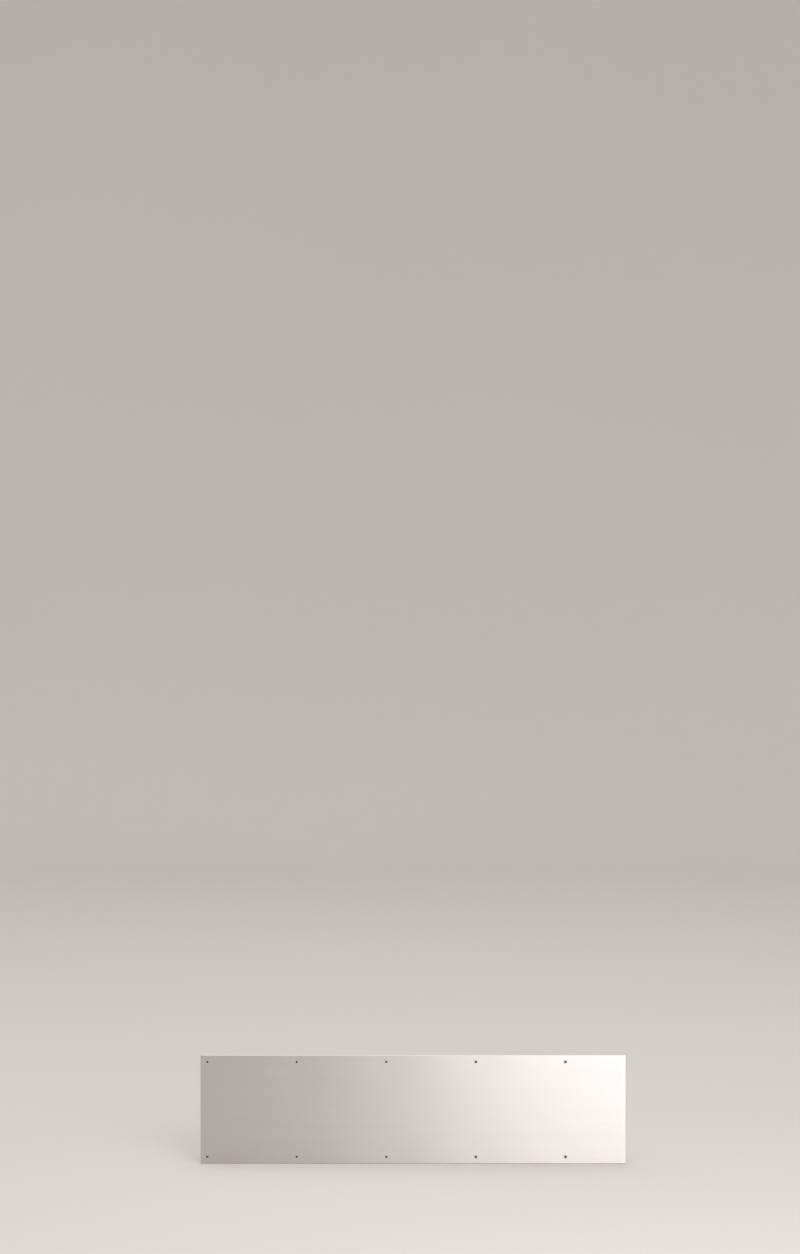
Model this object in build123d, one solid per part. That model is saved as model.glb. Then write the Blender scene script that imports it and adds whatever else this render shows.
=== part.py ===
from build123d import *

import math
import os

# Kick plate: a thin stainless steel sheet that protects the foot of a swing door, and the ten wood screws
# that hold it. All sizes are millimetres.
#
# Frame: the origin is the centre of the back face, which lies on the door. +X runs along the plate to
# the right as a person facing the door sees it, +Y goes into the door and +Z is up.
#
# The sheet is a 34 in by 8 in stock plate cut down at its right end to the width of the door, so its screw
# columns start half an inch from the left end and stop well short of the right end.

INCH = 25.4

# Plate
PLATE_WIDTH = 31.375 * INCH
PLATE_HEIGHT = 8 * INCH
SHEET = 0.050 * INCH
BEVEL = 0.8  # 45 degree bevel round the front face

# Screw holes: two rows, spaced as on the uncut stock plate
STOCK_WIDTH = 34 * INCH
STOCK_COLUMNS = 6
KEPT_COLUMNS = 5
HOLE_INSET = 0.5 * INCH
HOLE_PITCH = (STOCK_WIDTH - 2 * HOLE_INSET) / (STOCK_COLUMNS - 1)
ROWS = {"top": PLATE_HEIGHT / 2 - HOLE_INSET, "bottom": HOLE_INSET - PLATE_HEIGHT / 2}

# No. 6 by 5/8 in flat head wood screw, with an undercut head that ends inside the sheet
SCREW_LENGTH = 0.625 * INCH
HEAD_RADIUS = 3.45
HEAD_RIM = 0.10  # short upright band below the head's face
HEAD_SHORT = 0.02  # how far the head's cone stops short of the sheet's back
HEAD_DEPTH = SHEET - HEAD_SHORT
CONE_HALF_ANGLE = 82 / 2
SHANK_RADIUS = 1.75
SHANK_END = 0.35 * SCREW_LENGTH
ROOT_RADIUS = 1.20
THREAD_PITCH = INCH / 18
THREAD_TURNS = 4
TIP_RADIUS = 0.12  # where the root cone turns into the blunt point
TIP_LENGTH = 0.15

# Thread ridge, as a section in a plane through the screw's axis
RIDGE_HALF_ROOT = 0.44
RIDGE_HALF_CREST = 0.06
RIDGE_SINK = 0.30  # how far the ridge reaches into the root, so that the two fuse
RIDGE_END_SCALE = 0.35  # size of the ridge near the point
RIDGE_END_RADIUS = 0.30  # root radius that the ridge's path has shrunk to there
RIDGE_STOP = 0.50  # distance of the ridge's end from the point

# No. 2 cross recess
RECESS_DEPTH = 1.3
WING_RADIUS = 2.15
WING_BOTTOM_RADIUS = 1.35
WING_WIDTH = 0.95
CORE_RADIUS = 1.35
CORE_BOTTOM_RADIUS = 0.85
CORE_POINT = 0.35  # depth of the drill point below the core

# Seat of the head in the sheet
SEAT_GAP = 0.05  # radial room round the head's cone
THROUGH_RADIUS = 2.60
CUT_MARGIN = 0.5  # how far cutting tools run past the faces they cut

GOLDEN_TURN = 137.5  # each screw stops at its own angle, this far on from the last


def hole_columns():
    """X of each screw column, from the left."""
    first = HOLE_INSET - PLATE_WIDTH / 2
    return [first + HOLE_PITCH * i for i in range(KEPT_COLUMNS)]


def hole_places():
    """(node name, x, z) of each screw, top row first, numbered from the left."""
    return [
        (f"screw_{row}_{number}", x, z)
        for row, z in ROWS.items()
        for number, x in enumerate(hole_columns(), start=1)
    ]


def turned_section(*rings):
    """A solid of revolution about Z from (radius, height) points, closed along the axis."""
    outline = Polyline(*[(radius, 0, height) for radius, height in rings], close=True)
    return revolve(make_face(outline), axis=Axis.Z)


def countersink():
    """The tool for one hole, about Z, with the sheet's front at 0 and its back at SHEET."""
    slope = math.tan(math.radians(CONE_HALF_ANGLE))
    mouth = HEAD_RADIUS + HEAD_RIM * slope + SEAT_GAP
    flare = mouth + CUT_MARGIN * slope
    neck_height = (mouth - THROUGH_RADIUS) / slope
    return turned_section(
        (0, -CUT_MARGIN),
        (flare, -CUT_MARGIN),
        (THROUGH_RADIUS, neck_height),
        (THROUGH_RADIUS, SHEET + CUT_MARGIN),
        (0, SHEET + CUT_MARGIN),
    )


def into_door(shape, x, z):
    """Moves a shape made about Z, with the sheet's front at 0, to the hole at (x, z): its +Z becomes +Y."""
    return Location((x, -SHEET, z), (-90, 0, 0)) * shape


def kick_plate():
    sheet = Box(PLATE_WIDTH, SHEET, PLATE_HEIGHT, align=(Align.CENTER, Align.MAX, Align.CENTER))
    front = sheet.faces().sort_by(Axis.Y)[0]
    sheet = chamfer(front.edges(), BEVEL)
    tool = countersink()
    for _, x, z in hole_places():
        sheet -= into_door(tool, x, z)
    return sheet


def screw_blank():
    """Head, plain shank, root of the thread and point, as one turned piece."""
    neck = HEAD_RADIUS - (HEAD_DEPTH - HEAD_RIM) * math.tan(math.radians(CONE_HALF_ANGLE))
    shoulder = SHANK_END + SHANK_RADIUS - ROOT_RADIUS
    return turned_section(
        (0, 0),
        (HEAD_RADIUS, 0),
        (HEAD_RADIUS, HEAD_RIM),
        (neck, HEAD_DEPTH),
        (SHANK_RADIUS, HEAD_DEPTH),
        (SHANK_RADIUS, SHANK_END),
        (ROOT_RADIUS, shoulder),
        (ROOT_RADIUS, taper_start()),
        (TIP_RADIUS, SCREW_LENGTH - TIP_LENGTH),
        (0, SCREW_LENGTH),
    )


def ridge_start():
    """The ridge starts inside the plain shank, so that it grows out of the shoulder."""
    return SHANK_END - RIDGE_HALF_ROOT


def taper_start():
    return ridge_start() + THREAD_TURNS * THREAD_PITCH


def ridge_section(path, share, scale):
    """The ridge's section where its path is at this share of its length."""
    place = path @ share
    outwards = Vector(place.X, place.Y, 0).normalized()
    around = Vector(-outwards.Y, outwards.X, 0)
    depth = SHANK_RADIUS - ROOT_RADIUS
    corners = [
        (-RIDGE_SINK, -RIDGE_HALF_ROOT),
        (0, -RIDGE_HALF_ROOT),
        (depth, -RIDGE_HALF_CREST),
        (depth, RIDGE_HALF_CREST),
        (0, RIDGE_HALF_ROOT),
        (-RIDGE_SINK, RIDGE_HALF_ROOT),
    ]
    scaled = [(across * scale, along * scale) for across, along in corners]
    return (Plane(place, x_dir=outwards, z_dir=around) * Polygon(*scaled, align=None)).face()


def thread():
    """A right-hand ridge: even along the straight root, then shrinking along the point's cone."""
    start = ridge_start()
    straight = Helix(THREAD_PITCH, THREAD_TURNS * THREAD_PITCH, ROOT_RADIUS, center=(0, 0, start))
    taper_length = SCREW_LENGTH - RIDGE_STOP - taper_start()
    narrowing = math.degrees(math.atan((ROOT_RADIUS - RIDGE_END_RADIUS) / taper_length))
    taper = Helix(
        THREAD_PITCH,
        taper_length,
        ROOT_RADIUS,
        center=(0, 0, taper_start()),
        cone_angle=-narrowing,
    )
    even = sweep(ridge_section(straight, 0, 1), path=straight, is_frenet=True)
    ends = [ridge_section(taper, 0, 1), ridge_section(taper, 1, RIDGE_END_SCALE)]
    shrinking = sweep(ends, path=taper, multisection=True, is_frenet=True)
    return even, shrinking


def cross_recess():
    """The tool for the driver's recess, from above the head's face down into the head."""
    lean = (WING_RADIUS - WING_BOTTOM_RADIUS) / RECESS_DEPTH
    reach = turned_section(
        (0, -CUT_MARGIN),
        (WING_RADIUS + CUT_MARGIN * lean, -CUT_MARGIN),
        (WING_BOTTOM_RADIUS, RECESS_DEPTH),
        (0, RECESS_DEPTH),
    )
    height = RECESS_DEPTH + CUT_MARGIN
    bar = Box(4 * WING_RADIUS, WING_WIDTH, height, align=(Align.CENTER, Align.CENTER, Align.MAX))
    bar = Location((0, 0, RECESS_DEPTH)) * bar
    wings = (bar + Rotation(0, 0, 90) * bar) & reach
    core = turned_section(
        (0, -CUT_MARGIN),
        (CORE_RADIUS, -CUT_MARGIN),
        (CORE_RADIUS, 0),
        (CORE_BOTTOM_RADIUS, RECESS_DEPTH),
        (0, RECESS_DEPTH + CORE_POINT),
    )
    return wings + core


def wood_screw():
    """One screw about Z, with the head's face at 0 and the point at SCREW_LENGTH."""
    even, shrinking = thread()
    return screw_blank() + even + shrinking - cross_recess()


def main():
    os.makedirs("parts", exist_ok=True)
    export_step(kick_plate(), "parts/kick_plate.step")
    screw = wood_screw()
    for index, (name, x, z) in enumerate(hole_places()):
        turned = Rotation(0, 0, GOLDEN_TURN * index % 360) * screw
        export_step(into_door(turned, x, z), f"parts/{name}.step")


main()
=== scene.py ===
"""Looks of a kick plate: a brushed stainless steel sheet and the wood screws that hold it, in a pale studio.

Everything is in metres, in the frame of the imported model: the sheet's back is y = 0, its front faces -Y, and
+Z is up. The sheet and the screws are built here as fine closed meshes with eased edges, and each stands for
its CAD node.

Flat geometry is written as complex numbers. A section's point is across + 1j * depth, where depth goes into
the door. A plan point is x - 1j * z, so that a turn from 1 to 1j is right-handed about +Y.
"""

import cmath
import math

import bpy
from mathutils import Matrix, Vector
from mathutils.geometry import delaunay_2d_cdt


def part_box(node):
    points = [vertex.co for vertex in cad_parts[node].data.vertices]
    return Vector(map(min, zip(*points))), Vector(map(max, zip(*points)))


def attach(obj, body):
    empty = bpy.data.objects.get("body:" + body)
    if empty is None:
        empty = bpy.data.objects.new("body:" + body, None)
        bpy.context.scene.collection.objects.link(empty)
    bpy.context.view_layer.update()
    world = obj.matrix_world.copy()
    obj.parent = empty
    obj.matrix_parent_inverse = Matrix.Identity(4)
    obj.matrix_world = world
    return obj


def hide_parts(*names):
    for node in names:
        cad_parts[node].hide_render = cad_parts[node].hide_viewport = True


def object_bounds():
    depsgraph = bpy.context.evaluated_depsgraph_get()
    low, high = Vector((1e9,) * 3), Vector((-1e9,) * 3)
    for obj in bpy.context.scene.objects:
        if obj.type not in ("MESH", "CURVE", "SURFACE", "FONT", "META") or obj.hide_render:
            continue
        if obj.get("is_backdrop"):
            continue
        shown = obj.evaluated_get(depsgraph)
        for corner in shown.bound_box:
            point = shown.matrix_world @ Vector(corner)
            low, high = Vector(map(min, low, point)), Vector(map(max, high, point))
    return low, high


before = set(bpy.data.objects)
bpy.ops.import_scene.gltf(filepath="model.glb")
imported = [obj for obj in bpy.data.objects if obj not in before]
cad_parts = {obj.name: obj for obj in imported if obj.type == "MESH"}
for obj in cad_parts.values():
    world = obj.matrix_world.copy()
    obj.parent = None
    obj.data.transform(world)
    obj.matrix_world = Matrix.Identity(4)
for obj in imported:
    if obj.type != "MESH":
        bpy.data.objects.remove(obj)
cad_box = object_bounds()

MM = 0.001
TINY = 1e-6  # a normal's part no larger than this counts as nothing
SHARP_ANGLE = math.radians(35)  # a screw's edge sharper than this is shaded as an edge

# What delaunay_2d_cdt takes
INSIDE_ONLY = 1  # its output type that leaves out what is outside the loops
SAME_POINT = 1e-9  # points closer than this are one

# Sheet
LOW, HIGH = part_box("kick_plate")
FRONT = LOW.y
THICK = HIGH.y - LOW.y
BEVEL = 0.8 * MM
CORNER = 0.6 * MM  # radius of the sheet's four corners
SHARPEST = 0.05 * MM  # what is left of that radius inside the bevel
EASE = 0.10 * MM  # radius of the rounding along the sheet's edges
SEAT_EASE = 0.05 * MM  # and along those of its holes
RIM = 1.5 * MM  # width of the band of regular faces along edges and round holes
CELL = 6 * MM  # size of the faces elsewhere
CORNER_STEPS = 4  # faces across a rounded corner
EASE_STEPS = 3  # faces across an eased edge
STANDS_OFF = 0.12 * MM  # how far the sheet stands off the door away from its screws
PULLED_FLAT = 45 * MM  # how far a screw's pull reaches

# Screws and their seats
AROUND = 64  # faces round a screw or a hole
SLOPE = math.tan(math.radians(82 / 2))  # of the heads' 82 degree cone and its seat
HEAD_RADIUS = 3.45 * MM
HEAD_RIM = 0.10 * MM  # height of the upright band below the head's face
HEAD_DEPTH = THICK - 0.02 * MM
HEAD_EASE = 0.04 * MM
FACE_RINGS = [1.4 * MM, 1.8 * MM, 2.2 * MM, 2.6 * MM, 3.0 * MM]  # of vertices on the head's face
SEAT_GAP = 0.05 * MM  # radial room round the head
SEAT_MOUTH = HEAD_RADIUS + HEAD_RIM * SLOPE + SEAT_GAP
SEAT_THROUGH = 2.60 * MM  # radius of the straight bore behind the seat's cone
SHANK_RADIUS = 1.75 * MM
LENGTH = 15.875 * MM
SHANK_END = 0.35 * LENGTH
ROOT_RADIUS = 1.20 * MM
PITCH = 25.4 / 18 * MM
TAPER_START = SHANK_END + 3.7 * PITCH  # from here the thread narrows to the point
THREAD_END = LENGTH - 0.4 * MM
TIP_RADIUS = 0.20 * MM  # of the root at the thread's end
RIDGE_FADE = 1.5  # power that sets how late the ridge shrinks
GOLDEN_TURN = 137.5  # degrees from one screw's recess to the next one's

# Cross recess: half width of a wing, its reach and the radius of the core, at the mouth and at the bottom
RECESS_MOUTH = (0.475 * MM, 2.15 * MM, 1.35 * MM)
RECESS_BOTTOM = (0.40 * MM, 1.35 * MM, 0.85 * MM)
RECESS_DEPTH = 1.3 * MM
RECESS_POINT = 0.35 * MM  # depth of the drilled point below that
RECESS_EASE = 0.06 * MM
RECESS_STEPS = 4  # rings of faces down its walls

# Painted shade and dirt in the recesses, under the heads and in the seats, as a share of the surface that it
# hides
MOUTH_SHADE_AND_GRIME = 0.9  # painted shade and dirt on the head's face at the recess's edge
SHADE_AND_GRIME_FULL = 1.6 * MM  # distance from the head's middle up to which the face is that dark with painted shade and dirt
SHADE_AND_GRIME_GONE = 2.7 * MM  # distance from which the face has neither painted shade nor dirt
# painted shade and dirt on the head's underside, which darkens the ring between head and seat
CONE_SHADE_AND_GRIME = 0.5
SEAT_SHADE_AND_GRIME_DEPTH = 0.25 * MM  # depth from which a seat is all painted shade and dirt

# One pitch of the thread in section: (place along it in pitches, share of the ridge's height)
RIDGE = [
    (-0.31, 0),
    (-0.26, 0.1),
    (-0.06, 0.93),
    (-0.03, 1),
    (0.03, 1),
    (0.06, 0.93),
    (0.26, 0.1),
    (0.31, 0),
    (0.5, 0),
]


def screw_places():
    """(CAD node, plan point) of each screw, in the order of their recesses' turns."""
    names = [f"screw_{row}_{number}" for row in ("top", "bottom") for number in range(1, 6)]
    middles = [sum(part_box(name), Vector()) / 2 for name in names]
    return [(name, complex(middle.x, -middle.z)) for name, middle in zip(names, middles)]


SCREWS = screw_places()


# Shapes


def spot(plan, depth):
    """The point in space of a plan point at this depth behind the sheet's front."""
    return Vector((plan.real, FRONT + depth, -plan.imag))


def ring_of(steps):
    """Points of the unit circle, anticlockwise."""
    return [cmath.exp(2j * math.pi * step / steps) for step in range(steps)]


def eased(corners, radius, steps):
    """An outline with its corners rounded, as (point, normal) pairs. Normals are on the right of the way."""
    ways = [(b - a) / abs(b - a) for a, b in zip(corners, corners[1:])]
    outline = [(corners[0], -1j * ways[0])]
    for corner, way, next_way in zip(corners[1:], ways, ways[1:]):
        turn = cmath.phase(next_way / way)
        start = corner - way * radius * math.tan(abs(turn) / 2)
        centre = start + way * 1j * math.copysign(radius, turn)
        for step in range(steps + 1):
            swing = cmath.exp(1j * turn * step / steps)
            outline.append((centre + (start - centre) * swing, -1j * way * swing))
    outline.append((corners[-1], -1j * ways[-1]))
    return outline


def on_left(a, b, c):
    """Whether an anticlockwise triangle is on the left of its loop, if its corners are all on one. A corner
    on a loop is (loop, place along it), and any other is None."""
    if None in (a, b, c) or not a[0] == b[0] == c[0]:
        return True
    return a < b < c or b < c < a or c < a < b


class Shape:
    """A mesh in the making: vertices with named values, and faces with a material number."""

    def __init__(self, *names):
        self.points = []
        self.values = {name: [] for name in names}
        self.faces = []
        self.materials = []

    def add(self, point, **values):
        self.points.append(point)
        for name, held in self.values.items():
            held.append(values[name])
        return len(self.points) - 1

    def face(self, corners, material):
        """Adds a face, unless its corners lie on each other."""
        kept = [corner for i, corner in enumerate(corners) if corner != corners[i - 1]]
        if len(kept) > 2:
            self.faces.append(kept)
            self.materials.append(material)

    def strip(self, ring, next_ring, material):
        """Faces from a closed ring to the next one along +Y. Those of an anticlockwise ring look outwards."""
        for i in range(len(ring)):
            self.face([ring[i - 1], ring[i], next_ring[i], next_ring[i - 1]], material)

    def fill(self, plans, loops, material, looks_back):
        """Triangles over {vertex: plan point}, on the left of every loop of vertices."""
        vertices = list(plans)
        order = {vertex: i for i, vertex in enumerate(vertices)}
        edges = [(order[loop[i - 1]], order[loop[i]]) for loop in loops for i in range(len(loop))]
        flat = [Vector((plan.real, plan.imag)) for plan in plans.values()]
        _, _, triangles, sources, _, _ = delaunay_2d_cdt(flat, edges, [], INSIDE_ONLY, SAME_POINT)
        places = {}
        for number, loop in enumerate(loops):
            places.update({vertex: (number, i) for i, vertex in enumerate(loop)})
        for triangle in triangles:
            corners = [vertices[sources[corner][0]] for corner in triangle]
            if on_left(*[places.get(corner) for corner in corners]):
                self.face(corners if looks_back else corners[::-1], material)

    def build(self, name, materials):
        """The object, with its vertices' normal values as its normals if it has them."""
        mesh = bpy.data.meshes.new(name)
        mesh.from_pydata(self.points, [], self.faces)
        for material in materials:
            mesh.materials.append(material)
        mesh.polygons.foreach_set("material_index", self.materials)
        mesh.polygons.foreach_set("use_smooth", [True] * len(self.faces))
        for value_name, held in self.values.items():
            if value_name == "normal":
                continue
            if isinstance(held[0], Vector):
                attribute = mesh.attributes.new(value_name, "FLOAT_VECTOR", "POINT")
                attribute.data.foreach_set("vector", [part for vector in held for part in vector])
            else:
                attribute = mesh.attributes.new(value_name, "FLOAT", "POINT")
                attribute.data.foreach_set("value", held)
        mesh.update()
        if "normal" in self.values:
            mesh.normals_split_custom_set_from_vertices(self.values["normal"])
        else:
            mesh.set_sharp_from_angle(angle=SHARP_ANGLE)
        made = bpy.data.objects.new(name, mesh)
        bpy.context.scene.collection.objects.link(made)
        return made


# Sheet

FACE, EDGE, BACK, SEAT = range(4)  # material numbers
ALONG = Vector((1, 0, 0))  # the way of the sheet's grain


def stand_off(plan):
    """How far the sheet stands off the door here: nothing at the screws, most where they are far away."""
    free = 1.0
    for _, screw in SCREWS:
        free *= 1 - math.exp(-(abs(plan - screw) ** 2) / PULLED_FLAT**2)
    return STANDS_OFF * free


def stand_off_slope(plan):
    """The stand-off's slope, as a plan vector."""
    step = 0.5 * MM
    rises = [(stand_off(plan + step * way) - stand_off(plan - step * way)) * way for way in (1, 1j)]
    return sum(rises) / (2 * step)


def add_to_sheet(shape, plan, depth, normal, grain=ALONG, grime=0.0):
    """A vertex of the sheet. normal is (plan part, depth part) on a sheet that lies flat."""
    across, along = normal
    tilted = across + along * stand_off_slope(plan)
    return shape.add(
        spot(plan, depth - stand_off(plan)),
        normal=Vector((tilted.real, along, -tilted.imag)).normalized(),
        grain=grain,
        grime=grime,
    )


def sheet_edge():
    """The sheet's edge in section, from the front round to the back. Across is 0 at the sheet's outline."""
    corners = [-BEVEL - RIM, -BEVEL, BEVEL * 1j, THICK * 1j, -RIM + THICK * 1j]
    return eased(corners, EASE, EASE_STEPS)


def seat_section():
    """A screw's seat in section, from the front through to the back. Across is minus the radius."""
    neck = (SEAT_MOUTH - SEAT_THROUGH) / SLOPE * 1j
    corners = [
        -SEAT_MOUTH - RIM,
        -SEAT_MOUTH,
        -SEAT_THROUGH + neck,
        -SEAT_THROUGH + THICK * 1j,
        -SEAT_THROUGH - RIM + THICK * 1j,
    ]
    return eased(corners, SEAT_EASE, EASE_STEPS)


def sheet_loop(inset):
    """(plan point, outward) pairs, anticlockwise round the sheet, this far inside its outline."""
    radius = max(CORNER - inset, SHARPEST)
    corner = complex(HIGH.x - inset - radius, HIGH.z - inset - radius)
    centres = [corner.conjugate(), corner, -corner.conjugate(), -corner]
    counts = [round(2 * HIGH.z / CELL), round(2 * HIGH.x / CELL)]
    loop = []
    for quarter, centre in enumerate(centres):
        outward = 1j ** (quarter - 1)
        for step in range(CORNER_STEPS + 1):
            way = outward * cmath.exp(0.5j * math.pi * step / CORNER_STEPS)
            loop.append((centre + radius * way, way))
        last, way = loop[-1]
        side = centres[(quarter + 1) % 4] - centre
        count = counts[quarter % 2]
        loop += [(last + side * step / count, way) for step in range(1, count)]
    return loop


def seat_loop(middle, radius):
    """(plan point, outward) pairs, clockwise round a hole of this radius, whose metal is outside it."""
    return [(middle + radius * way, -way) for way in reversed(ring_of(AROUND))]


def sheet_rings(shape, section, loop_at, material, shade_and_grime_at):
    """Rings of vertices along a section, front to back, joined by strips. The first strip is part of the face
    and the last one of the back."""
    rings = []
    for place, normal in section:
        flat = abs(normal.real) < TINY
        ring = []
        for plan, outward in loop_at(place.real):
            round_edge = outward * 1j
            grain = ALONG if flat else Vector((round_edge.real, 0, -round_edge.imag))
            vertex_normal = (outward * normal.real, normal.imag)
            ring.append(add_to_sheet(shape, plan, place.imag, vertex_normal, grain, shade_and_grime_at(place.imag)))
        rings.append(ring)
    materials = [FACE] + [material] * (len(rings) - 3) + [BACK]
    for ring, next_ring, number in zip(rings, rings[1:], materials):
        shape.strip(ring, next_ring, number)
    return rings


def sheet_grid():
    """Plan points of the sheet's inner vertices, away from its edges and holes."""
    clear = BEVEL + RIM + CELL / 2
    half_width, half_height = HIGH.x - clear, HIGH.z - clear
    columns = round(2 * half_width / CELL)
    rows = round(2 * half_height / CELL)
    for column in range(columns + 1):
        for row in range(rows + 1):
            plan = complex((2 * column / columns - 1) * half_width, (2 * row / rows - 1) * half_height)
            if all(abs(plan - screw) > SEAT_MOUTH + RIM + CELL / 2 for _, screw in SCREWS):
                yield plan


def sheet_side(shape, rings, depth, material):
    """The flat of the front or the back, between the ring round the edge and those round the holes."""
    looks_back = depth > 0
    edges = [(vertex, shape.points[vertex]) for ring in rings for vertex in ring]
    plans = {vertex: complex(point.x, -point.z) for vertex, point in edges}
    for plan in sheet_grid():
        plans[add_to_sheet(shape, plan, depth, (0, 1 if looks_back else -1))] = plan
    shape.fill(plans, rings, material, looks_back)


def kick_plate(materials):
    """The sheet, with its ten holes."""
    # Each vertex carries a share of painted shade and dirt, which darkens the seats below the heads
    shape = Shape("normal", "grain", "grime")
    edge = sheet_rings(shape, sheet_edge(), lambda across: sheet_loop(-across), EDGE, lambda depth: 0.0)
    seats = [
        sheet_rings(
            shape,
            seat_section(),
            lambda across, screw=screw: seat_loop(screw, -across),
            SEAT,
            # Seats darken with depth: painted shade between head and seat, and dirt
            lambda depth: min(1.0, depth / SEAT_SHADE_AND_GRIME_DEPTH),
        )
        for _, screw in SCREWS
    ]
    sheet_side(shape, [edge[0]] + [seat[0] for seat in seats], 0, FACE)
    sheet_side(shape, [edge[-1]] + [seat[-1] for seat in seats], THICK, BACK)
    return shape.build("plate_sheet", materials)


# Screws

STEEL, RECESS = range(2)  # material numbers


def head_section():
    """The head and the plain shank in section, from near the edge of the head's face to the shank's end."""
    neck = HEAD_RADIUS - (HEAD_DEPTH - HEAD_RIM) * SLOPE
    corners = [
        HEAD_RADIUS - 2 * HEAD_EASE + 0j,
        HEAD_RADIUS + 0j,
        HEAD_RADIUS + HEAD_RIM * 1j,
        neck + HEAD_DEPTH * 1j,
        SHANK_RADIUS + HEAD_DEPTH * 1j,
        SHANK_RADIUS + SHANK_END * 1j,
    ]
    return eased(corners, HEAD_EASE, EASE_STEPS)


def recess_outline(wing, reach, core, ease):
    """The cross recess's outline, anticlockwise: four wings and a core with flats between them."""
    side = math.sqrt(core**2 - wing**2)
    corners = [
        reach + 0j,
        reach + wing * 1j,
        side + wing * 1j,
        wing + side * 1j,
        wing + reach * 1j,
        reach * 1j,
    ]
    quarter = [point for point, _ in eased(corners, ease, EASE_STEPS)][:-1]
    return [point * 1j**turn for turn in range(4) for point in quarter]


def in_recess(plan, margin):
    """Whether a plan point, seen from the recess's middle, is inside its mouth or this close to it."""
    wing, reach, core = (size + margin for size in RECESS_MOUTH)
    near, far = sorted((abs(plan.real), abs(plan.imag)))
    side = math.sqrt(core**2 - wing**2)
    return (near < wing and far < reach) or near + far < wing + side


def between(low, high, share):
    return low + (high - low) * share


def recess_rings(shape, add, mouth):
    """The recess, from its mouth on the head's face down to its bottom, closed by a drilled point. Gives the
    vertices of the mouth."""
    # The recess's walls are fully darkened with painted shade and dirt, and its mouth almost so
    rings = [[add(plan, 0, MOUTH_SHADE_AND_GRIME) for plan in mouth]]
    for step in range(RECESS_STEPS + 1):
        share = step / RECESS_STEPS
        sizes = [between(top, bottom, share) for top, bottom in zip(RECESS_MOUTH, RECESS_BOTTOM)]
        depth = between(RECESS_EASE, RECESS_DEPTH, share)
        rings.append([add(plan, depth, 1.0) for plan in recess_outline(*sizes, RECESS_EASE)])
    for ring, next_ring in zip(rings, rings[1:]):
        shape.strip(next_ring, ring, RECESS)
    point = add(0j, RECESS_DEPTH + RECESS_POINT, 1.0)
    for i in range(len(mouth)):
        shape.face([rings[-1][i], rings[-1][i - 1], point], RECESS)
    return rings[0]


def head_face(shape, add, edge_radius):
    """The head's face with the recess in it. Gives the vertices of its outermost ring."""
    outline = recess_outline(*(size + RECESS_EASE for size in RECESS_MOUTH), 2 * RECESS_EASE)
    mouth = recess_rings(shape, add, outline)
    plans = dict(zip(mouth, outline))
    for radius in FACE_RINGS + [edge_radius]:
        # Painted shade and dirt round the recess on the head's face, fading outwards
        grime = MOUTH_SHADE_AND_GRIME * min(max((SHADE_AND_GRIME_GONE - radius) / (SHADE_AND_GRIME_GONE - SHADE_AND_GRIME_FULL), 0), 1)
        ring = []
        for way in ring_of(AROUND):
            if not in_recess(radius * way, 3 * RECESS_EASE):
                ring.append(add(radius * way, 0, grime))
                plans[ring[-1]] = radius * way
    shape.fill(plans, [mouth[::-1], ring], STEEL, looks_back=False)
    return ring


def shoulder_radius(depth):
    """Radius of the 45 degree cone from the plain shank down to the thread's root."""
    return SHANK_RADIUS - (depth - SHANK_END)


def taper(depth):
    """How far along the thread's taper this depth is, from 0 to 1."""
    return max(0, (depth - TAPER_START) / (THREAD_END - TAPER_START))


def root_radius(depth):
    """Radius of the thread's root, which narrows to the point."""
    return ROOT_RADIUS - (ROOT_RADIUS - TIP_RADIUS) * taper(depth)


def ridge_height(depth):
    """Height of the thread's ridge, which shrinks to nothing at the point."""
    return (SHANK_RADIUS - ROOT_RADIUS) * (1 - taper(depth) ** RIDGE_FADE)


def thread(shape, add, shank_ring):
    """The thread: rows of faces that follow the helix, cut off level at both ends. Rows wholly past an end
    shrink to nothing. Gives the vertices of its last ring."""
    rows_in_pitch = len(RIDGE)
    first = -2 * rows_in_pitch
    last = (math.ceil((THREAD_END - SHANK_END) / PITCH) + 1) * rows_in_pitch
    made = {(i, SHANK_END): vertex for i, vertex in enumerate(shank_ring)}

    def vertex(i, row):
        if i == AROUND:
            i, row = 0, row + rows_in_pitch
        place, height = RIDGE[row % rows_in_pitch]
        helix = SHANK_END + PITCH * (row // rows_in_pitch + place + i / AROUND)
        depth = min(max(helix, SHANK_END), THREAD_END)
        if (i, depth) not in made:
            radius = max(shoulder_radius(depth), root_radius(depth) + ridge_height(depth) * height)
            made[i, depth] = add(radius * cmath.exp(2j * math.pi * i / AROUND), depth, 0.0)
        return made[i, depth]

    for row in range(first, last):
        for i in range(AROUND):
            corners = [vertex(i, row), vertex(i + 1, row), vertex(i + 1, row + 1), vertex(i, row + 1)]
            shape.face(corners, STEEL)
    return [made[i, THREAD_END] for i in range(AROUND)]


def wood_screw(name, middle, turn, materials):
    """One screw in the hole at this plan point, its recess turned by this many degrees."""
    # Each vertex carries a share of painted shade and dirt, which darkens the recess, the head's underside and
    # the face round the recess
    shape = Shape("grime")
    turned = cmath.exp(1j * math.radians(turn))

    def add(plan, depth, grime):
        return shape.add(spot(middle + turned * plan, depth), grime=grime)

    section = head_section()
    ring = head_face(shape, add, section[0][0].real)
    for place, _ in section[1:]:
        # The head's underside is half darkened with painted shade and dirt, for the ring between head and seat
        grime = CONE_SHADE_AND_GRIME if HEAD_RIM / 2 < place.imag <= HEAD_DEPTH else 0.0
        next_ring = [add(place.real * way, place.imag, grime) for way in ring_of(AROUND)]
        shape.strip(ring, next_ring, STEEL)
        ring = next_ring
    ring = thread(shape, add, ring)
    tip = add(0j, LENGTH, 0.0)
    for i in range(AROUND):
        shape.face([ring[i - 1], ring[i], tip], STEEL)
    return shape.build(name, materials)


# Materials


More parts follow.
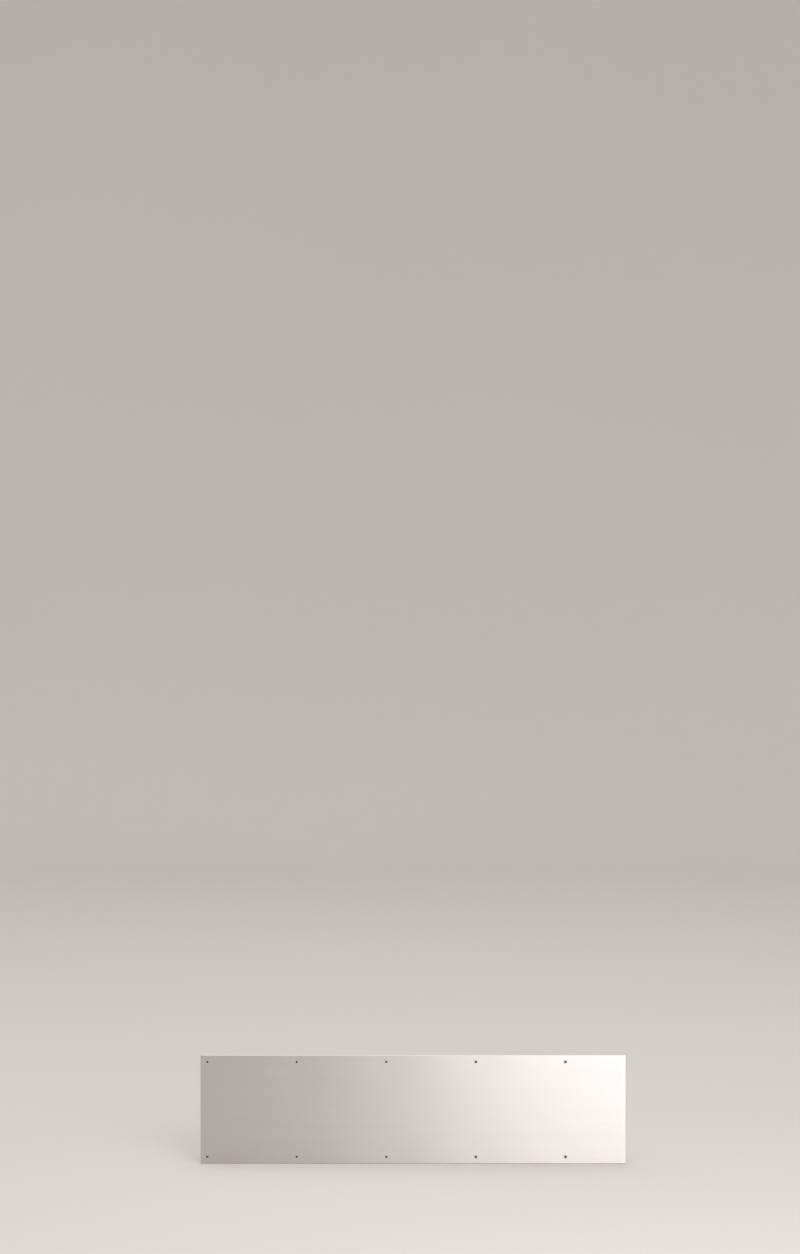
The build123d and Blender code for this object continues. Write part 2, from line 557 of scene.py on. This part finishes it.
class Nodes:
    """The nodes of one material."""

    def __init__(self, name):
        self.material = bpy.data.materials.new(name)
        self.material.use_nodes = True
        self.tree = self.material.node_tree
        self.surface = self.tree.nodes["Principled BSDF"]

    def set(self, node, inputs):
        """Sets a node's inputs, given by name or number. A socket is linked, anything else is a constant."""
        for name, value in inputs.items():
            if isinstance(value, bpy.types.NodeSocket):
                self.tree.links.new(value, node.inputs[name])
            else:
                node.inputs[name].default_value = value

    def add(self, kind, inputs, **settings):
        """A new node with these settings and inputs."""
        node = self.tree.nodes.new("ShaderNode" + kind)
        for name, value in settings.items():
            setattr(node, name, value)
        self.set(node, inputs)
        return node

    def attribute(self, name, output):
        return self.add("Attribute", {}, attribute_name=name).outputs[output]

    def noise(self, per_metre, detail=2.0, roughness=0.5, tilt=0.0):
        """Noise with this many features in a metre along X, Y and Z, turned about Y by tilt degrees."""
        here = self.add("TexCoord", {}).outputs["Object"]
        turned = {"Vector": here, "Rotation": (0, math.radians(tilt), 0), "Scale": per_metre}
        vector = self.add("Mapping", turned).outputs["Vector"]
        inputs = {"Vector": vector, "Scale": 1.0, "Detail": detail, "Roughness": roughness}
        return self.add("TexNoise", inputs).outputs["Fac"]

    def ranged(self, value, low, high, from_low=0.3, from_high=0.7):
        """value mapped from one range to another, and held inside it. Most of a noise is from 0.3 to 0.7."""
        inputs = {
            "Value": value,
            "From Min": from_low,
            "From Max": from_high,
            "To Min": low,
            "To Max": high,
        }
        return self.add("MapRange", inputs).outputs["Result"]

    def calc(self, operation, a, b):
        return self.add("Math", {0: a, 1: b}, operation=operation).outputs[0]

    def ramp(self, factor, *colours):
        """A colour from a factor of 0 to 1, through colours at even steps."""
        node = self.add("ValToRGB", {"Fac": factor})
        stops = node.color_ramp.elements
        while len(stops) < len(colours):
            stops.new(0.5)
        for i, colour in enumerate(colours):
            stops[i].position = i / (len(colours) - 1)
            stops[i].color = (*colour, 1)
        return node.outputs["Color"]

    def blend(self, factor, colour, other):
        """colour where the factor is 0, and other where it is 1."""
        node = self.add("MixRGB", {"Fac": factor, "Color1": colour, "Color2": other})
        return node.outputs["Color"]

    def bump(self, height, distance, strength=1.0):
        inputs = {"Height": height, "Distance": distance, "Strength": strength}
        return self.add("Bump", inputs).outputs["Normal"]


# Near black, for painted shade and dirt in the recesses, under the heads and in the seats
SHADE_AND_GRIME_COLOUR = (0.018, 0.015, 0.012, 1)
BARE_STEEL = (0.45, 0.44, 0.42, 1)  # steel in a recess, painted darker than the head's, where its painted shade and dirt thin out
ACROSS = 0.25  # of a turn: a brushed surface spreads its highlights across the grain


def brushed_face():
    """Steel brushed lengthwise: hairlines of many widths, faint bands, long scratches and handling marks."""
    nodes = Nodes("brushed_face")
    hairline = nodes.noise((16, 16, 9000), detail=3, roughness=0.7)
    streak = nodes.noise((5, 5, 1800), detail=3, roughness=0.7)
    band = nodes.noise((1.6, 1.6, 210), detail=3, roughness=0.6)
    scratch = nodes.ranged(nodes.noise((9, 9, 2600), detail=1, tilt=0.35), 0, 1, 0.70, 0.78)
    smudge = nodes.noise((6, 6, 9), detail=4, roughness=0.6)
    lines = nodes.calc("ADD", nodes.calc("MULTIPLY", hairline, 0.5), nodes.calc("MULTIPLY", streak, 0.5))
    tone = nodes.calc("ADD", nodes.calc("MULTIPLY", lines, 0.75), nodes.calc("MULTIPLY", band, 0.25))
    marked = nodes.calc("ADD", nodes.ranged(tone, 0, 1, 0.35, 0.65), nodes.calc("MULTIPLY", scratch, 0.5))
    grain_roughness = nodes.calc("ADD", nodes.ranged(streak, -0.02, 0.02), nodes.ranged(band, -0.01, 0.01))
    height = nodes.calc("SUBTRACT", lines, nodes.calc("MULTIPLY", scratch, 0.4))
    nodes.set(nodes.surface, {
        "Base Color": nodes.ramp(marked, (0.598, 0.580, 0.570), (0.658, 0.640, 0.630)),
        "Metallic": 1.0,
        "Roughness": nodes.calc("ADD", grain_roughness, nodes.ranged(smudge, 0.36, 0.40)),
        "Anisotropic": 0.85,
        "Anisotropic Rotation": ACROSS,
        "Tangent": nodes.attribute("grain", "Vector"),
        "Normal": nodes.bump(height, 0.01 * MM, 0.6),
    })
    return nodes.material


def ground_edge():
    """The bevel and the edge, ground lengthwise and a little brighter than the face."""
    nodes = Nodes("ground_edge")
    lines = nodes.noise((150, 4000, 150), detail=2)
    nick = nodes.noise((320, 320, 320), detail=3)
    nodes.set(nodes.surface, {
        "Base Color": nodes.ramp(nodes.ranged(nick, 0, 1), (0.64, 0.63, 0.615), (0.70, 0.69, 0.675)),
        "Metallic": 1.0,
        "Roughness": nodes.calc("ADD", nodes.ranged(lines, -0.04, 0.04), nodes.ranged(nick, 0.36, 0.30)),
        "Anisotropic": 0.5,
        "Anisotropic Rotation": ACROSS,
        "Tangent": nodes.attribute("grain", "Vector"),
        "Normal": nodes.bump(nick, 0.004 * MM, 0.3),
    })
    return nodes.material


def mill_back():
    """The back, as it left the rolling mill: dull, cloudy and faintly streaked, with a fine pebble."""
    nodes = Nodes("mill_back")
    cloud = nodes.noise((11, 11, 8), detail=5, roughness=0.65)
    pebble = nodes.noise((1800, 1800, 2200), detail=2)
    roller = nodes.noise((1.5, 1.5, 120), detail=3)
    scuff = nodes.ranged(nodes.noise((30, 30, 900), detail=2, tilt=24), 0, 1, 0.68, 0.76)
    tone = nodes.calc("ADD", nodes.calc("MULTIPLY", cloud, 0.6), nodes.calc("MULTIPLY", roller, 0.4))
    marked = nodes.calc("ADD", nodes.ranged(tone, 0, 1), nodes.calc("MULTIPLY", scuff, 0.3))
    dullness = nodes.ranged(cloud, 0.36, 0.52)
    nodes.set(nodes.surface, {
        "Base Color": nodes.ramp(marked, (0.50, 0.50, 0.495), (0.62, 0.615, 0.605)),
        "Metallic": 1.0,
        "Roughness": nodes.calc("SUBTRACT", dullness, nodes.calc("MULTIPLY", scuff, 0.08)),
        "Normal": nodes.bump(pebble, 0.008 * MM, 0.4),
    })
    return nodes.material


def cut_seat():
    """The countersinks, cut round and round, painted darker with depth below the heads: painted shade between
    head and seat, and floor dirt.
    """
    nodes = Nodes("cut_seat")
    # The seat's share of painted shade and dirt, which turns the steel near black and dull
    shade_and_dirt = nodes.attribute("grime", "Fac")
    grain = nodes.noise((900, 900, 900), detail=2)
    steel = nodes.ramp(nodes.ranged(grain, 0, 1), (0.62, 0.61, 0.59), (0.74, 0.73, 0.71))
    nodes.set(nodes.surface, {
        "Base Color": nodes.blend(shade_and_dirt, steel, SHADE_AND_GRIME_COLOUR),
        "Metallic": nodes.ranged(shade_and_dirt, 1, 0, 0, 1),
        "Roughness": nodes.ranged(shade_and_dirt, 0.3, 0.9, 0, 1),
        "Anisotropic": 0.5,
        "Anisotropic Rotation": ACROSS,
        "Tangent": nodes.attribute("grain", "Vector"),
    })
    return nodes.material


def screw_steel():
    """Cold-formed stainless steel, a little dull, with small dings, and painted shade and dirt in every
    hollow.
    """
    nodes = Nodes("screw_steel")
    patchy = nodes.noise((2200, 2200, 2200), detail=4)
    # The screw's share of painted shade and dirt, in patches, which turns the steel near black and dull
    shade_and_dirt = nodes.calc("MULTIPLY", nodes.attribute("grime", "Fac"), nodes.ranged(patchy, 0.5, 1.1))
    ding = nodes.noise((1500, 1500, 1500), detail=3)
    dull = nodes.noise((400, 400, 400), detail=2)
    steel = nodes.ramp(nodes.ranged(dull, 0, 1), (0.58, 0.57, 0.55), (0.70, 0.69, 0.67))
    nodes.set(nodes.surface, {
        "Base Color": nodes.blend(shade_and_dirt, steel, SHADE_AND_GRIME_COLOUR),
        "Metallic": nodes.ranged(shade_and_dirt, 1, 0, 0.2, 1),
        "Roughness": nodes.calc("ADD", nodes.ranged(dull, 0.42, 0.52), nodes.ranged(shade_and_dirt, 0, 0.4, 0, 1)),
        "Normal": nodes.bump(ding, 0.01 * MM, 0.5),
    })
    return nodes.material


def shaded_dirty_recess():
    """The recess's walls and mouth, dark with painted shade and with old floor polish and dirt."""
    nodes = Nodes("shaded_dirty_recess")
    shade_and_dirt = nodes.attribute("grime", "Fac")
    crumb = nodes.noise((3500, 3500, 3500), detail=3)
    # Painted shade and dirt over the recess, thinned a little by a noise
    recess_shade_and_dirt = nodes.calc("MULTIPLY", nodes.ranged(shade_and_dirt, 0, 1, 0.1, 0.7), nodes.ranged(crumb, 0.88, 1))
    nodes.set(nodes.surface, {
        "Base Color": nodes.blend(recess_shade_and_dirt, BARE_STEEL, SHADE_AND_GRIME_COLOUR),
        "Metallic": nodes.ranged(recess_shade_and_dirt, 1, 0, 0.2, 0.9),
        "Roughness": nodes.ranged(recess_shade_and_dirt, 0.35, 0.9, 0, 1),
        "Specular IOR Level": 0.15,
        "Normal": nodes.bump(crumb, 0.02 * MM, 0.4),
    })
    return nodes.material


# Studio

GROUND = LOW.z - 0.2 * MM
FLOOR_RADIUS = 6.5
INNER_RADIUS = 2.0  # of a ring of vertices on the flat floor
WALL_RADIUS = 10.0
WALL_HEIGHT = 5.0
WALL_STEPS = 24
FLOOR_SIDES = 96
EYE = (-0.0249, FRONT - 5.543, 0.9031)
FOCAL_LENGTH = 85  # mm


def studio_floor():
    """A plain pale floor that turns up into a round wall far away, so that no hard horizon shows."""
    rise = WALL_RADIUS - FLOOR_RADIUS
    profile = [(0.0, 0.0), (INNER_RADIUS, 0.0), (FLOOR_RADIUS, 0.0)]
    for step in range(1, WALL_STEPS + 1):
        swing = 0.5 * math.pi * step / WALL_STEPS
        profile.append((FLOOR_RADIUS + rise * math.sin(swing), WALL_HEIGHT * (1 - math.cos(swing))))
    points, faces = [], []
    for radius, height in profile:
        ring = [radius * way for way in ring_of(FLOOR_SIDES)]
        points += [(point.real, point.imag, GROUND + height) for point in ring]
    for level in range(len(profile) - 1):
        low = level * FLOOR_SIDES
        high = low + FLOOR_SIDES
        for i in range(FLOOR_SIDES):
            j = (i + 1) % FLOOR_SIDES
            faces.append([low + i, low + j, high + j, high + i])
    mesh = bpy.data.meshes.new("studio_floor")
    mesh.from_pydata(points, [], faces)
    mesh.polygons.foreach_set("use_smooth", [True] * len(faces))
    nodes = Nodes("studio_paint")
    cloud = nodes.ranged(nodes.noise((0.5, 0.5, 0.5), detail=1), 0, 1)
    nodes.set(nodes.surface, {
        "Base Color": nodes.ramp(cloud, (0.725, 0.70, 0.675), (0.735, 0.71, 0.685)),
        "Roughness": 0.9,
    })
    mesh.materials.append(nodes.material)
    floor = bpy.data.objects.new("studio_floor", mesh)
    bpy.context.scene.collection.objects.link(floor)
    floor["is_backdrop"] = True


def softbox(name, place, target, size, power, colour, spread=180):
    """A rectangular light that shows in reflections but not to the camera. Its spread is in degrees."""
    light = bpy.data.lights.new(name, "AREA")
    light.shape = "RECTANGLE"
    light.size, light.size_y = size
    light.energy = power
    light.color = colour
    light.spread = math.radians(spread)
    lamp = bpy.data.objects.new(name, light)
    lamp.location = place
    lamp.rotation_euler = (Vector(target) - Vector(place)).to_track_quat("-Z", "Y").to_euler()
    lamp.visible_camera = False
    bpy.context.scene.collection.objects.link(lamp)


def lights():
    """A key light just right of the camera, which the brushed face catches more and more towards its right
    end, a wide overhead light and the room's own soft light."""
    softbox(
        "key",
        place=(0.95, -3.0, 1.15),
        target=(0.1, 0, 0.2),
        size=(1.7, 1.8),
        power=21.5,
        colour=(1.0, 0.99, 0.99),
        spread=120,
    )
    softbox(
        "overhead",
        place=(0, 0.5, 6),
        target=(0, 0.5, 0),
        size=(8, 6),
        power=120,
        colour=(1.0, 0.985, 0.965),
    )
    world = bpy.data.worlds.new("studio")
    world.use_nodes = True
    background = world.node_tree.nodes["Background"]
    background.inputs["Color"].default_value = (1.0, 0.98, 0.955, 1)
    background.inputs["Strength"].default_value = 0.66
    bpy.context.scene.world = world
    bpy.context.scene.view_settings.view_transform = "Standard"


def camera():
    """A level camera, as high as the middle of the door and a little left of the sheet's middle."""
    lens = bpy.data.cameras.new("camera")
    lens.lens = FOCAL_LENGTH
    eye = bpy.data.objects.new("camera", lens)
    eye.location = EYE
    eye.rotation_euler = (math.pi / 2, 0, 0)
    bpy.context.scene.collection.objects.link(eye)
    bpy.context.scene.camera = eye


def main():
    camera()
    lights()
    studio_floor()
    sheet = kick_plate([brushed_face(), ground_edge(), mill_back(), cut_seat()])
    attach(sheet, "root")
    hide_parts("kick_plate")
    steels = [screw_steel(), shaded_dirty_recess()]
    for index, (node, middle) in enumerate(SCREWS):
        screw = wood_screw(node.replace("screw", "wood_screw"), middle, GOLDEN_TURN * index, steels)
        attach(screw, "root")
        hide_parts(node)
    sizes = {"cad": cad_box, "visual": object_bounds()}
    {name: [list(corner) for corner in box] for name, box in sizes.items()}


main()
